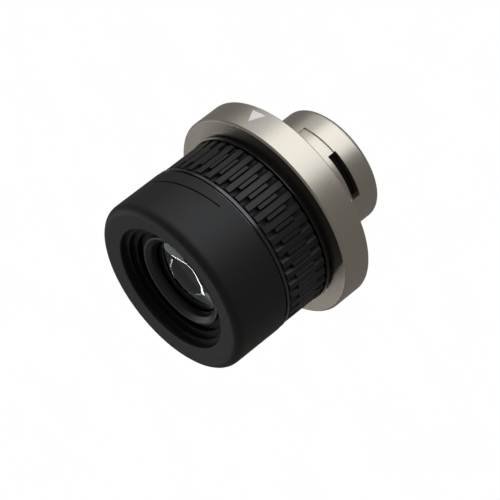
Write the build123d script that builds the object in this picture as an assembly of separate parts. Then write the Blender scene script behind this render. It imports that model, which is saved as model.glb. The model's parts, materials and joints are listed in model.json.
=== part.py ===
from build123d import *
import math
import os

# Fixed-power telescope eyepiece with a lock barrel, a ribbed grip and a twist-up eyecup.
# Millimetres. +Z is the optical axis and points to the eye. The origin is the centre of the
# flange seat, the rear face of the wide flange that rests on the telescope. The pale index
# mark on the flange faces -Y.

# ---- barrel and flange ------------------------------------------------------------------
BARREL_R = 16.0
BARREL_LENGTH = 17.2
BARREL_BORE_R = 14.0
BARREL_NOSE_ROUND = 1.8
SPIGOT_R = 14.95
SPIGOT_TOP = 4.0
FLANGE_R = 28.5
FLANGE_TOP = 8.2
FLANGE_BORE_R = 15.0
FLANGE_CHAMFER = 0.35

# lock slots: a shallow channel with a slot through the wall along its far edge, three of each
LOCK_COUNT = 3
CHANNEL_FROM, CHANNEL_TO = 183.5, 268.0
CHANNEL_TOP, CHANNEL_BOTTOM = -6.4, -10.2
CHANNEL_DEPTH = 0.35
SLOT_TO = 230.8
SLOT_TOP, SLOT_BOTTOM = -8.2, -10.6
LAND_RELIEF = 0.015
NECK_R, NECK_HEIGHT = 15.8, 0.3
SEAT_INNER_R = 16.3

# ---- index mark -------------------------------------------------------------------------
INDEX_ANGLE = 270.0
INDEX_SIDE = 4.6
INDEX_BASE_Z = 1.5
INDEX_INLAY = 0.25

# ---- main body and grip -----------------------------------------------------------------
BODY_FLOOR = 10.2
BODY_TOP = 22.3
BODY_R = 22.2
BODY_BORE_R = 21.0
REAR_RING_BOTTOM, REAR_RING_TOP, REAR_RING_R = 9.15, 10.1, 23.95
GRIP_BOTTOM, GRIP_TOP, GRIP_R = 10.4, 22.3, 23.7
RIB_COUNT = 44
RIB_FIRST = 218.8
RIB_TOP_WIDTH, RIB_SLOPE_WIDTH = 1.6, 0.7
POCKET_DEPTH = 0.87
BLOCK_BEVEL_WIDTH, BLOCK_BEVEL_DEPTH = 0.35, 0.5
NOTCH_WIDTH = 0.48
EYE_POCKET, FLANGE_POCKET = 2.75, 3.1

# ---- eyecup and its lift ----------------------------------------------------------------
LIFT = 8.0
TWIST = 100.0
CLEARANCE = 0.1
TRIM_BOTTOM, TRIM_TOP, TRIM_R = 22.7, 24.1, 23.9
CUP_BOTTOM, CUP_CORNER_Z, CUP_R = 24.3, 41.1, 24.0
CUP_ROUND = 2.4
CUP_HOLE_R, CUP_HOLE_Z = 17.4, 40.25
CUP_LIP_BOTTOM = 38.9
ARC_FROM, ARC_TURN, ARC_RISE = 243.9, 76.0, 3.14
ARC_Z, ARC_WIDTH, ARC_DEPTH = 27.0, 0.35, 0.3
BAFFLE_STEP_R, BAFFLE_HOLE_R = 16.1, 14.6
BAFFLE_STEP_Z, BAFFLE_BOTTOM = 37.1, 36.3
SLEEVE_BOTTOM = 12.4
SLEEVE_R, SLEEVE_BORE_R = 20.95, 19.6
PIN_COUNT = 3
PIN_FIRST = 30.0
PIN_R, PIN_Z, PIN_TIP_R = 0.8, 13.4, 18.65
KEY_FIRST = 90.0
KEY_HALF_ANGLE = 3.8
KEY_TOP = 22.6
KEY_INNER_R, KEY_OUTER_R = 19.7, 20.2

# ---- cam tube ---------------------------------------------------------------------------
CAM_R, CAM_BORE_R = 19.5, 17.4
CAM_TOP = 35.0
CAM_FOOT_TOP = 12.0
CAM_GROOVE_FLOOR_R = 18.5
SCREW_COUNT = 3
SCREW_CIRCLE_R, SCREW_SHANK_R, SCREW_HEAD_R = 16.2, 0.7, 1.1
SCREW_HEAD_HEIGHT, SCREW_LENGTH = 1.0, 7.2
SCREW_FIRST = 0.0
FRICTION_Z, FRICTION_WIDTH, FRICTION_FLOOR_R = 30.0, 0.8, 18.9

# ---- click stop -------------------------------------------------------------------------
CLICK_BOTTOM, CLICK_TOP = 10.3, 12.25
CLICK_R, CLICK_BORE_R = 20.9, 19.65
BALL_R, BALL_CIRCLE_R, BALL_ANGLE = 0.75, 20.25, 150.0
BALL_Z = 9.5
BALL_TRAVEL = 0.35
BALL_POCKET_R, BALL_POCKET_BOTTOM = 0.85, 5.5
CLICK_STOPS = 3
SPRING_WIRE_R, SPRING_COIL_R, SPRING_TURNS = 0.11, 0.52, 5

# ---- seal between body and flange -------------------------------------------------------
SEAL_CIRCLE_R, SEAL_WIRE_R = 18.4, 0.4

# ---- lens cell and glass ----------------------------------------------------------------
CELL_BOTTOM, CELL_TOP = -12.0, 35.8
CELL_LOWER_R, CELL_R = 13.9, 14.9
LENS_R = 12.35
LENS_BORE_R = 12.4
CELL_WAIST_R = 11.2
FRONT_SEAT, REAR_SEAT = 12.4, -6.5
CEMENT = 0.02
EYE_RING_R, EYE_RING_TOP = 12.9, 36.9
EYE_RING_SEAT = 34.7
EYE_APERTURE_R, EYE_LIP_R = 10.4, 11.4
EYE_SLOPE_DROP = 0.7
EYE_EDGE_TOP, EYE_EDGE_BOTTOM, EYE_CURVE = 33.55, 30.2, 30.0
SPACER_R = 11.3
FRONT_CROWN_TOP, FRONT_CROWN_BOTTOM, FRONT_CURVE = 27.4, 25.4, 34.0
FRONT_FLINT_BOTTOM = 21.6
REAR_FLINT_TOP = 18.0
REAR_CROWN_TOP, REAR_CROWN_BOTTOM, REAR_CURVE = 14.8, 12.83, 36.0
STOP_BOTTOM, STOP_TOP, STOP_R = 0.0, 1.2, 9.6
FIELD_EDGE_BOTTOM, FIELD_CURVE = -9.0, 40.0
FIELD_RING_BOTTOM, FIELD_RING_R = -11.6, 10.6


# ---- helpers ----------------------------------------------------------------------------
def turned(points, rounds=()):
    """Solid of revolution about Z from (radius, height) points, with rounded corners."""
    profile = make_face(Polyline(*points, close=True))
    for corner, radius in rounds:
        nearest = profile.vertices().sort_by_distance((corner[0], corner[1], 0))[0]
        profile = fillet(nearest, radius)
    return revolve(Plane.XZ * profile, Axis.Z)


def ring(inner_r, outer_r, bottom, top):
    """Plain ring between two heights."""
    return turned([(inner_r, bottom), (outer_r, bottom), (outer_r, top), (inner_r, top)])


def sector(inner_r, outer_r, bottom, top, start, end):
    """Part of a ring from one angle to another, in degrees counter-clockwise from +X."""
    corners = [(inner_r, bottom), (outer_r, bottom), (outer_r, top), (inner_r, top)]
    face = Plane.XZ * make_face(Polyline(*corners, close=True))
    return Rot(0, 0, start) * revolve(face, Axis.Z, end - start)


def radial_rod(radius, inner_r, outer_r, height, angle):
    """Round rod that lies along a radius of the object."""
    length = outer_r - inner_r
    rod = Pos((inner_r + outer_r) / 2, 0, height) * Rot(0, 90, 0) * Cylinder(radius, length)
    return Rot(0, 0, angle) * rod


def upright_rod(radius, bottom, top, circle_r, angle):
    """Round rod that stands parallel to the axis."""
    rod = Pos(circle_r, 0, (bottom + top) / 2) * Cylinder(radius, top - bottom)
    return Rot(0, 0, angle) * rod


def sag(curve, radius):
    """Height of a spherical cap of a given curve over a circle of a given radius."""
    return curve - math.sqrt(curve * curve - radius * radius)


def lens(edge_top, edge_bottom, top_curve=0.0, bottom_curve=0.0):
    """Round lens. A positive curve bulges upwards and a negative one downwards; 0 is flat."""
    def surface(edge, curve):
        if not curve:
            return Line((LENS_R, edge), (0, edge))
        side = math.copysign(1.0, curve)
        apex = edge + side * sag(abs(curve), LENS_R)
        middle = apex - side * sag(abs(curve), LENS_R / 2)
        return ThreePointArc((LENS_R, edge), (LENS_R / 2, middle), (0, apex))

    top = surface(edge_top, top_curve)
    bottom = surface(edge_bottom, bottom_curve)
    wall = Line((LENS_R, edge_bottom), (LENS_R, edge_top))
    axis = Line(bottom @ 1, top @ 1)
    return revolve(Plane.XZ * make_face([top, bottom, wall, axis]), Axis.Z)


def helical_groove(inner_r, outer_r, start_z, width, turn, rise):
    """Cutter that starts at +X and climbs by a rise while it goes round by a turn in degrees."""
    path = Pos(0, 0, start_z) * Helix(rise * 360.0 / turn, rise, (inner_r + outer_r) / 2)
    frame = Plane(origin=path @ 0, x_dir=(1, 0, 0), z_dir=path % 0)
    section = frame * Rectangle(outer_r - inner_r, width)
    return sweep(section, path=path, is_frenet=True)


def seat_drop(curve, seat_r):
    """How far a domed face falls from a seat of a given radius to the lens's edge."""
    return sag(curve, LENS_R) - sag(curve, seat_r)


def spread(count, first):
    """Angles of a number of equal divisions."""
    return [first + 360.0 * i / count for i in range(count)]


# ---- mount ------------------------------------------------------------------------------
def bayonet_barrel():
    """Barrel that enters the telescope, with lock slots and a stepped spigot for the flange.

    The band that holds the slots is a hair smaller, so that a burr there can't bind.
    """
    outline = [
        (BARREL_BORE_R, -BARREL_LENGTH),
        (BARREL_R, -BARREL_LENGTH),
        (BARREL_R, CHANNEL_BOTTOM),
        (BARREL_R - LAND_RELIEF, CHANNEL_BOTTOM),
        (BARREL_R - LAND_RELIEF, CHANNEL_TOP),
        (BARREL_R, CHANNEL_TOP),
        (BARREL_R, 0),
        (NECK_R, 0),
        (NECK_R, NECK_HEIGHT),
        (SPIGOT_R, NECK_HEIGHT),
        (SPIGOT_R, SPIGOT_TOP),
        (BARREL_BORE_R, SPIGOT_TOP),
    ]
    barrel = turned(outline, [((BARREL_R, -BARREL_LENGTH), BARREL_NOSE_ROUND)])
    pitch = 360.0 / LOCK_COUNT
    for i in range(LOCK_COUNT):
        turn = i * pitch
        barrel -= sector(BARREL_R - CHANNEL_DEPTH, BARREL_R + 1, CHANNEL_BOTTOM, CHANNEL_TOP,
                         CHANNEL_FROM + turn, CHANNEL_TO + turn)
        barrel -= sector(BARREL_BORE_R - 1, BARREL_R + 1, SLOT_BOTTOM, SLOT_TOP,
                         CHANNEL_FROM + turn, SLOT_TO + turn)
    return barrel


def triangle(depth_inside, height_outside):
    """Upright triangular prism at the index mark, its apex towards the eye."""
    half = INDEX_SIDE / 2
    rise = INDEX_SIDE * math.sqrt(3) / 2
    corners = [(-half, INDEX_BASE_Z), (half, INDEX_BASE_Z), (0, INDEX_BASE_Z + rise)]
    face = Plane.XZ * make_face(Polyline(*corners, close=True))
    start = FLANGE_R - depth_inside
    prism = extrude(Pos(0, -start, 0) * face, depth_inside + height_outside, dir=(0, -1, 0))
    return Rot(0, 0, INDEX_ANGLE - 270.0) * prism


def mount_flange():
    """Wide flange with a relief round the barrel, an inlay for the index mark, a seal groove
    and the ball's hole."""
    flange = turned([
        (FLANGE_BORE_R, NECK_HEIGHT),
        (SEAT_INNER_R, NECK_HEIGHT),
        (SEAT_INNER_R, 0),
        (FLANGE_R - FLANGE_CHAMFER, 0),
        (FLANGE_R, FLANGE_CHAMFER),
        (FLANGE_R, FLANGE_TOP - FLANGE_CHAMFER),
        (FLANGE_R - FLANGE_CHAMFER, FLANGE_TOP),
        (FLANGE_BORE_R, FLANGE_TOP),
    ])
    flange -= triangle(INDEX_INLAY, 2.0)
    flange -= ring(SEAL_CIRCLE_R - SEAL_WIRE_R, SEAL_CIRCLE_R + SEAL_WIRE_R,
                   FLANGE_TOP - 2 * SEAL_WIRE_R, FLANGE_TOP + 1)
    for angle in spread(SCREW_COUNT, SCREW_FIRST):
        flange -= upright_rod(SCREW_SHANK_R, CAM_FOOT_TOP - SCREW_LENGTH, FLANGE_TOP + 1,
                              SCREW_CIRCLE_R, angle)
    flange -= upright_rod(BALL_POCKET_R, BALL_POCKET_BOTTOM, FLANGE_TOP + 1,
                          BALL_CIRCLE_R, BALL_ANGLE)
    return flange


def index_mark():
    """Pale inlay whose face follows the flange's rim."""
    return triangle(INDEX_INLAY, 2.0) & ring(FLANGE_R - 2.0, FLANGE_R, 0, FLANGE_TOP)


def body_seal():
    """O-ring in the flange's groove."""
    return Pos(0, 0, FLANGE_TOP - SEAL_WIRE_R) * Torus(SEAL_CIRCLE_R, SEAL_WIRE_R)


# ---- body and grip ----------------------------------------------------------------------
def main_body():
    """Open cup that holds the grip outside and the eyecup's sleeve inside."""
    body = turned([
        (FLANGE_BORE_R, FLANGE_TOP),
        (BODY_R, FLANGE_TOP),
        (BODY_R, BODY_TOP),
        (BODY_BORE_R, BODY_TOP),
        (BODY_BORE_R, BODY_FLOOR),
        (FLANGE_BORE_R, BODY_FLOOR),
    ])
    for angle in spread(SCREW_COUNT, SCREW_FIRST):
        body -= upright_rod(SCREW_SHANK_R, FLANGE_TOP - 1, BODY_FLOOR + 1, SCREW_CIRCLE_R, angle)
    body -= upright_rod(BALL_POCKET_R, FLANGE_TOP - 1, BODY_FLOOR + 0.5,
                        BALL_CIRCLE_R, BALL_ANGLE)
    return body


def grip_rear_ring():
    """Thin polished ring behind the ribs."""
    edge = 0.15
    return turned([
        (BODY_R, REAR_RING_BOTTOM),
        (REAR_RING_R - edge, REAR_RING_BOTTOM),
        (REAR_RING_R, REAR_RING_BOTTOM + edge),
        (REAR_RING_R, REAR_RING_TOP - edge),
        (REAR_RING_R - edge, REAR_RING_TOP),
        (BODY_R, REAR_RING_TOP),
    ])


def rim_cut(profile, bottom, top, angle):
    """Cutter under the grip's rim: (distance along the rim clockwise, depth) points."""
    points = []
    for along, depth in profile:
        turn = -along / GRIP_R
        radius = GRIP_R - depth
        points.append((radius * math.cos(turn), radius * math.sin(turn)))
    face = Pos(0, 0, bottom) * make_face(Polyline(*points, close=True))
    return Rot(0, 0, angle) * extrude(face, top - bottom, dir=(0, 0, 1))


def grip_sleeve():
    """Rubber grip: ribs that slope up on one side, with a block between them in the middle."""
    grip = ring(BODY_R, GRIP_R, GRIP_BOTTOM, GRIP_TOP)
    pitch = 2 * math.pi * GRIP_R / RIB_COUNT
    rib_end = RIB_TOP_WIDTH - pitch
    outside = -0.6
    pocket = [
        (rib_end, outside),
        (rib_end, POCKET_DEPTH),
        (-RIB_SLOPE_WIDTH, POCKET_DEPTH),
        (0, 0),
        (0, outside),
    ]
    slope_at_notch = POCKET_DEPTH * NOTCH_WIDTH / RIB_SLOPE_WIDTH
    notch = [(-NOTCH_WIDTH, outside), (-NOTCH_WIDTH, slope_at_notch), (0, 0), (0, outside)]
    bevel = [
        (rib_end, outside),
        (rib_end, BLOCK_BEVEL_DEPTH),
        (rib_end + BLOCK_BEVEL_WIDTH, 0),
        (rib_end + BLOCK_BEVEL_WIDTH, outside),
    ]
    block_bottom = GRIP_BOTTOM + FLANGE_POCKET
    block_top = GRIP_TOP - EYE_POCKET
    cuts = []
    for angle in spread(RIB_COUNT, RIB_FIRST):
        cuts.append(rim_cut(pocket, GRIP_BOTTOM - 1, block_bottom, angle))
        cuts.append(rim_cut(pocket, block_top, GRIP_TOP + 1, angle))
        cuts.append(rim_cut(notch, block_bottom, block_top, angle))
        cuts.append(rim_cut(bevel, block_bottom, block_top, angle))
    return grip - cuts


# ---- eyecup -----------------------------------------------------------------------------
def eyecup_rubber():
    """Soft eyecup, its front face a little hollow, with a thin engraved line that climbs round it."""
    outline = [
        (SLEEVE_R, CUP_BOTTOM),
        (CUP_R, CUP_BOTTOM),
        (CUP_R, CUP_CORNER_Z),
        (CUP_HOLE_R, CUP_HOLE_Z),
        (CUP_HOLE_R, CUP_LIP_BOTTOM),
        (SLEEVE_R, CUP_LIP_BOTTOM),
    ]
    rounds = [
        ((CUP_R, CUP_CORNER_Z), CUP_ROUND),
        ((CUP_HOLE_R, CUP_HOLE_Z), 0.4),
        ((CUP_R, CUP_BOTTOM), 0.3),
    ]
    cup = turned(outline, rounds)
    arc = helical_groove(CUP_R - ARC_DEPTH, CUP_R + ARC_DEPTH, ARC_Z, ARC_WIDTH,
                         ARC_TURN, ARC_RISE)
    return cup - Rot(0, 0, ARC_FROM) * arc


def eyecup_trim_ring():
    """Bright ring at the rear edge of the eyecup, bevelled on both sides."""
    edge = 0.2
    return turned([
        (SLEEVE_R, TRIM_BOTTOM),
        (TRIM_R - edge, TRIM_BOTTOM),
        (TRIM_R, TRIM_BOTTOM + edge),
        (TRIM_R, TRIM_TOP - edge),
        (TRIM_R - edge, TRIM_TOP),
        (SLEEVE_R, TRIM_TOP),
    ])


def eyecup_sleeve():
    """Tube that carries the rubber. It has a hole for each pin and an inner keyway for each key."""
    sleeve = ring(SLEEVE_BORE_R, SLEEVE_R, SLEEVE_BOTTOM, CUP_LIP_BOTTOM)
    side_room = math.degrees(1.5 * CLEARANCE / SLEEVE_BORE_R)
    half = KEY_HALF_ANGLE + side_room
    for angle in spread(PIN_COUNT, KEY_FIRST):
        sleeve -= sector(SLEEVE_BORE_R - 1, KEY_OUTER_R + CLEARANCE, SLEEVE_BOTTOM - 1,
                         KEY_TOP + 4 * CLEARANCE, angle - half, angle + half)
    for angle in spread(PIN_COUNT, PIN_FIRST):
        sleeve -= radial_rod(PIN_R, SLEEVE_BORE_R - 2, SLEEVE_R + 1, PIN_Z, angle)
    return sleeve


def guide_pins():
    """Pins pressed into the sleeve; their tips run in the cam grooves."""
    outer_r = SLEEVE_R - CLEARANCE
    return Compound([radial_rod(PIN_R, PIN_TIP_R, outer_r, PIN_Z, angle)
                     for angle in spread(PIN_COUNT, PIN_FIRST)])


def eyecup_baffle():
    """Stepped black ring at the bottom of the eyecup's opening."""
    return turned([
        (BAFFLE_HOLE_R, BAFFLE_BOTTOM),
        (SLEEVE_BORE_R, BAFFLE_BOTTOM),
        (SLEEVE_BORE_R, CUP_LIP_BOTTOM),
        (BAFFLE_STEP_R, CUP_LIP_BOTTOM),
        (BAFFLE_STEP_R, BAFFLE_STEP_Z),
        (BAFFLE_HOLE_R, BAFFLE_STEP_Z),
    ])


# ---- cam and click stop -----------------------------------------------------------------
def cam_groove():
    """Cutter for one helical groove: it starts at +X and rises by the lift over the twist."""
    half_width = PIN_R + CLEARANCE
    outer_r = CAM_R + 0.6
    groove = helical_groove(CAM_GROOVE_FLOOR_R, outer_r, PIN_Z, 2 * half_width, TWIST, LIFT)
    groove += radial_rod(half_width, CAM_GROOVE_FLOOR_R, outer_r, PIN_Z, 0)
    groove += radial_rod(half_width, CAM_GROOVE_FLOOR_R, outer_r, PIN_Z + LIFT, TWIST)
    return groove


def cam_tube():
    """Fixed tube with three helical grooves, a groove for the friction ring and a screwed foot."""
    tube = turned([
        (FLANGE_BORE_R, BODY_FLOOR),
        (CAM_R, BODY_FLOOR),
        (CAM_R, CAM_TOP),
        (CAM_BORE_R, CAM_TOP),
        (CAM_BORE_R, CAM_FOOT_TOP),
        (FLANGE_BORE_R, CAM_FOOT_TOP),
    ])
    groove = cam_groove()
    for angle in spread(PIN_COUNT, PIN_FIRST):
        tube -= Rot(0, 0, angle) * groove
    tube -= ring(FRICTION_FLOOR_R, CAM_R + 1, FRICTION_Z, FRICTION_Z + FRICTION_WIDTH)
    for angle in spread(SCREW_COUNT, SCREW_FIRST):
        tube -= upright_rod(SCREW_SHANK_R, BODY_FLOOR - 1, CAM_FOOT_TOP + 1,
                            SCREW_CIRCLE_R, angle)
    return tube


def friction_ring():
    """Ring that gives the eyecup its smooth drag."""
    return ring(FRICTION_FLOOR_R, SLEEVE_BORE_R - 0.05, FRICTION_Z, FRICTION_Z + FRICTION_WIDTH)


def upper_centering_ring():
    """Ring that closes the cam tube and centres the lens cell."""
    return ring(CELL_R, CAM_BORE_R, CAM_TOP - 1.5, CAM_TOP)


def frame_screws():
    """Screws that hold the cam tube and the body on the flange."""
    screws = []
    for angle in spread(SCREW_COUNT, SCREW_FIRST):
        screw = upright_rod(SCREW_SHANK_R, CAM_FOOT_TOP - SCREW_LENGTH, CAM_FOOT_TOP,
                            SCREW_CIRCLE_R, angle)
        head_top = CAM_FOOT_TOP + SCREW_HEAD_HEIGHT
        screw += upright_rod(SCREW_HEAD_R, CAM_FOOT_TOP, head_top, SCREW_CIRCLE_R, angle)
        drive = Pos(SCREW_CIRCLE_R, 0, head_top) * Box(2 * SCREW_HEAD_R, 0.3, 0.8)
        screws.append(screw - Rot(0, 0, angle) * drive)
    return Compound(screws)


def click_ring():
    """Ring that turns with the eyecup: keys above, and a notch below for each click stop."""
    click = ring(CLICK_BORE_R, CLICK_R, CLICK_BOTTOM, CLICK_TOP)
    for angle in spread(PIN_COUNT, KEY_FIRST):
        click += sector(KEY_INNER_R, KEY_OUTER_R, CLICK_BOTTOM + 1.0, KEY_TOP,
                        angle - KEY_HALF_ANGLE, angle + KEY_HALF_ANGLE)
    for stop in range(CLICK_STOPS):
        click -= radial_rod(BALL_R + CLEARANCE, CLICK_BORE_R - 1, CLICK_R + 1,
                            BALL_Z + BALL_TRAVEL, BALL_ANGLE - TWIST * stop / (CLICK_STOPS - 1))
    return click


def detent_ball():
    """Ball that the spring presses into the notches."""
    return Rot(0, 0, BALL_ANGLE) * Pos(BALL_CIRCLE_R, 0, BALL_Z) * Sphere(BALL_R)


def detent_spring():
    """Coil spring under the ball."""
    bottom = BALL_POCKET_BOTTOM + SPRING_WIRE_R + 0.05
    height = BALL_Z - BALL_R - SPRING_WIRE_R - 0.05 - bottom
    path = Helix(height / SPRING_TURNS, height, SPRING_COIL_R)
    section = Plane(origin=path @ 0, z_dir=path % 0) * Circle(SPRING_WIRE_R)
    coil = sweep(section, path=path, is_frenet=True)
    return Rot(0, 0, BALL_ANGLE) * Pos(BALL_CIRCLE_R, 0, bottom) * coil


# ---- lens cell --------------------------------------------------------------------------
def lens_cell():
    """Stepped tube that holds the lenses: a narrow waist between two wider bores."""
    return turned([
        (LENS_BORE_R, CELL_BOTTOM),
        (CELL_LOWER_R, CELL_BOTTOM),
        (CELL_LOWER_R, SPIGOT_TOP),
        (CELL_R, SPIGOT_TOP),
        (CELL_R, CELL_TOP),
        (LENS_BORE_R, CELL_TOP),
        (LENS_BORE_R, FRONT_SEAT),
        (CELL_WAIST_R, FRONT_SEAT),
        (CELL_WAIST_R, REAR_SEAT),
        (LENS_BORE_R, REAR_SEAT),
    ])


def eye_lens_retaining_ring():
    """Ring round the eye lens, with a sloped inner lip and a threaded skirt in the cell."""
    return turned([
        (EYE_APERTURE_R, EYE_RING_SEAT),
        (LENS_R - 0.85, EYE_RING_SEAT),
        (LENS_R - 0.85, EYE_EDGE_TOP + 0.93),
        (LENS_R, EYE_EDGE_TOP + 0.93),
        (LENS_R, CELL_TOP),
        (EYE_RING_R, CELL_TOP),
        (EYE_RING_R, EYE_RING_TOP - 0.2),
        (EYE_RING_R - 0.2, EYE_RING_TOP),
        (EYE_LIP_R, EYE_RING_TOP),
        (EYE_APERTURE_R, EYE_RING_TOP - EYE_SLOPE_DROP),
    ])


def eye_lens_seal():
    """O-ring pinched between the eye lens and its retaining ring."""
    wire_r = 0.34
    circle_r = LENS_R - wire_r - 0.05
    top_of_glass = EYE_EDGE_TOP + sag(EYE_CURVE, LENS_R) - sag(EYE_CURVE, circle_r)
    slope = math.asin(circle_r / EYE_CURVE)
    return Pos(0, 0, top_of_glass + (wire_r + CEMENT) / math.cos(slope)) * Torus(circle_r, wire_r)


def glass():
    """The lenses from the eye to the telescope, each with its node's name."""
    return {
        "eye_lens": lens(EYE_EDGE_TOP, EYE_EDGE_BOTTOM, EYE_CURVE),
        "front_doublet_crown": lens(FRONT_CROWN_TOP, FRONT_CROWN_BOTTOM, FRONT_CURVE,
                                    -FRONT_CURVE),
        "front_doublet_flint": lens(FRONT_CROWN_BOTTOM - CEMENT, FRONT_FLINT_BOTTOM,
                                    -FRONT_CURVE),
        "rear_doublet_flint": lens(REAR_FLINT_TOP, REAR_CROWN_TOP + CEMENT, 0, REAR_CURVE),
        "rear_doublet_crown": lens(REAR_CROWN_TOP, REAR_CROWN_BOTTOM, REAR_CURVE, -REAR_CURVE),
        "field_lens": lens(REAR_SEAT, FIELD_EDGE_BOTTOM, 0, -FIELD_CURVE),
    }


def cell_rings():
    """Plain turned rings inside the lens cell, each with its node's name."""
    front_bottom = FRONT_CROWN_TOP + seat_drop(FRONT_CURVE, SPACER_R) + CEMENT
    lip_r = LENS_R - 0.6
    lip_top = FIELD_EDGE_BOTTOM - seat_drop(FIELD_CURVE, lip_r) - CEMENT
    return {
        "spacer_ring_front": ring(SPACER_R, LENS_R, front_bottom, EYE_EDGE_BOTTOM),
        "spacer_ring_middle": ring(SPACER_R, LENS_R, REAR_FLINT_TOP, FRONT_FLINT_BOTTOM),
        "field_stop": turned([
            (STOP_R, (STOP_BOTTOM + STOP_TOP) / 2),
            (STOP_R + 0.5, STOP_BOTTOM),
            (CELL_WAIST_R, STOP_BOTTOM),
            (CELL_WAIST_R, STOP_TOP),
            (STOP_R + 0.5, STOP_TOP),
        ]),
        "field_lens_retaining_ring": turned([
            (FIELD_RING_R, lip_top - 0.6),
            (lip_r, lip_top),
            (LENS_R, FIELD_EDGE_BOTTOM - CEMENT),
            (LENS_R, FIELD_RING_BOTTOM),
            (FIELD_RING_R + 0.7, FIELD_RING_BOTTOM),
            (FIELD_RING_R, FIELD_RING_BOTTOM + 0.7),
        ]),
    }


def build():
    """Every sub-part of the eyepiece, by node name."""
    pieces = [
        bayonet_barrel, mount_flange, index_mark, body_seal, main_body, grip_rear_ring,
        grip_sleeve, eyecup_rubber, eyecup_trim_ring, eyecup_sleeve, guide_pins, eyecup_baffle,
        cam_tube, friction_ring, upper_centering_ring, frame_screws, click_ring, detent_ball,
        detent_spring, lens_cell, eye_lens_retaining_ring, eye_lens_seal,
    ]
    nodes = {piece.__name__: piece() for piece in pieces}
    nodes.update(glass())
    nodes.update(cell_rings())
    return nodes


os.makedirs("parts", exist_ok=True)
for name, shape in build().items():
    export_step(shape, "parts/" + name + ".step")
    print(name)
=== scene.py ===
import json
import math

import bpy
import bmesh
from mathutils import Matrix, Vector


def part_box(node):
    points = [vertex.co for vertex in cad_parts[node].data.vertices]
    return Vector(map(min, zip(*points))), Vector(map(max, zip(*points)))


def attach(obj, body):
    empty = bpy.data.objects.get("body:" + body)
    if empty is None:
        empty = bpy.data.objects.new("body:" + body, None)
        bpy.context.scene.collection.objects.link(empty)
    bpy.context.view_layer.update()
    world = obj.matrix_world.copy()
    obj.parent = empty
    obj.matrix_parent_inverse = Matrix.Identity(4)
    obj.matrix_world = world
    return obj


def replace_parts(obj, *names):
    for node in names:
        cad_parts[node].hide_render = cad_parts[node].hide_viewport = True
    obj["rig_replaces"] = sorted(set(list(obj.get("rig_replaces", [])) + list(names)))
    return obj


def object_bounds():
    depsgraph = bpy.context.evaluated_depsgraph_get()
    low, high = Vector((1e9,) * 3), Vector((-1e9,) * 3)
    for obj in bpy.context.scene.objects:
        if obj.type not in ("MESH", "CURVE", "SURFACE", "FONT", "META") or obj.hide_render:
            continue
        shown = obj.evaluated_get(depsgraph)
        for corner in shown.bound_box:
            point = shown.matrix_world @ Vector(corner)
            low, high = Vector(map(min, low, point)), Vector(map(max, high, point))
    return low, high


bl_info = {
    "name": "Telescope eyepiece",
    "version": (1, 0, 0),
    "blender": (4, 5, 0),
    "location": "View3D > Sidebar > Eyepiece",
    "description": "Builds the finished pieces of a telescope eyepiece round its packed frame",
    "category": "Object",
}

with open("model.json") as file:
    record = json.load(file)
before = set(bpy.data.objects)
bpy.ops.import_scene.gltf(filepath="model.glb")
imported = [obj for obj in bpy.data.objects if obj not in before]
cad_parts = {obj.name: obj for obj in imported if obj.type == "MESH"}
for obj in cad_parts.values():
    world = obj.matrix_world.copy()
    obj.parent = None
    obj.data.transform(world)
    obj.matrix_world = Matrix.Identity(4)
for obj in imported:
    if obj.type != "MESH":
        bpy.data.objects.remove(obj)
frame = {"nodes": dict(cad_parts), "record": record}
CAD_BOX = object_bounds()
MM = 0.001
AROUND = 288
CREASE = math.radians(28)
TINY = 1e-9
RIB_TOP_R = 23.7
INDEX_SIDE, INDEX_BASE, INDEX_INLAY = 4.6, 1.5, 0.25
LENS_CELL_BORE, LENS_CELL_WAIST = 12.4, 11.2


def node_size(node):
    """Outer radius, bottom and top of a round node of the frame, in millimetres."""
    low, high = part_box(node)
    return max(-low.y, high.y) / MM, low.z / MM, high.z / MM


# ---- outlines and meshes ----
def turned_corner(before, here, after, radius, steps=6):
    """Points of the arc that rounds one corner of an outline."""
    to_before = (before - here).normalized()
    to_after = (after - here).normalized()
    half = to_before.angle(to_after) / 2
    centre = here + (to_before + to_after).normalized() * (radius / math.sin(half))
    start = here + to_before * (radius / math.tan(half)) - centre
    turn = math.pi - 2 * half
    if to_before.cross(to_after) > 0:
        turn = -turn
    return [centre + Matrix.Rotation(turn * step / steps, 2) @ start
            for step in range(steps + 1)]


def outline(corners):
    """Closed outline from (radius, height) or (radius, height, rounding) corners."""
    points = []
    for i, corner in enumerate(corners):
        here = Vector(corner[:2])
        if len(corner) == 2:
            points.append(here)
            continue
        before = Vector(corners[i - 1][:2])
        after = Vector(corners[(i + 1) % len(corners)][:2])
        points += turned_corner(before, here, after, corner[2])
    return [(point.x, point.y) for point in points]


def dome(curve, edge_r, edge_z, steps=14):
    """Points of a lens face from its edge to the axis; a curve of 0 is a flat face."""
    if not curve:
        return [(edge_r, edge_z), (0.0, edge_z)]
    edge_angle = math.asin(edge_r / abs(curve))
    centre_z = edge_z - curve * math.cos(edge_angle)
    angles = [edge_angle * (1 - step / steps) for step in range(steps + 1)]
    return [(abs(curve) * math.sin(angle), centre_z + curve * math.cos(angle))
            for angle in angles]


def at_angle(radius, height, degrees):
    """Point at a radius, a height and an angle about the optical axis, in metres."""
    angle = math.radians(degrees)
    return Vector((radius * math.cos(angle), radius * math.sin(angle), height)) * MM


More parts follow.
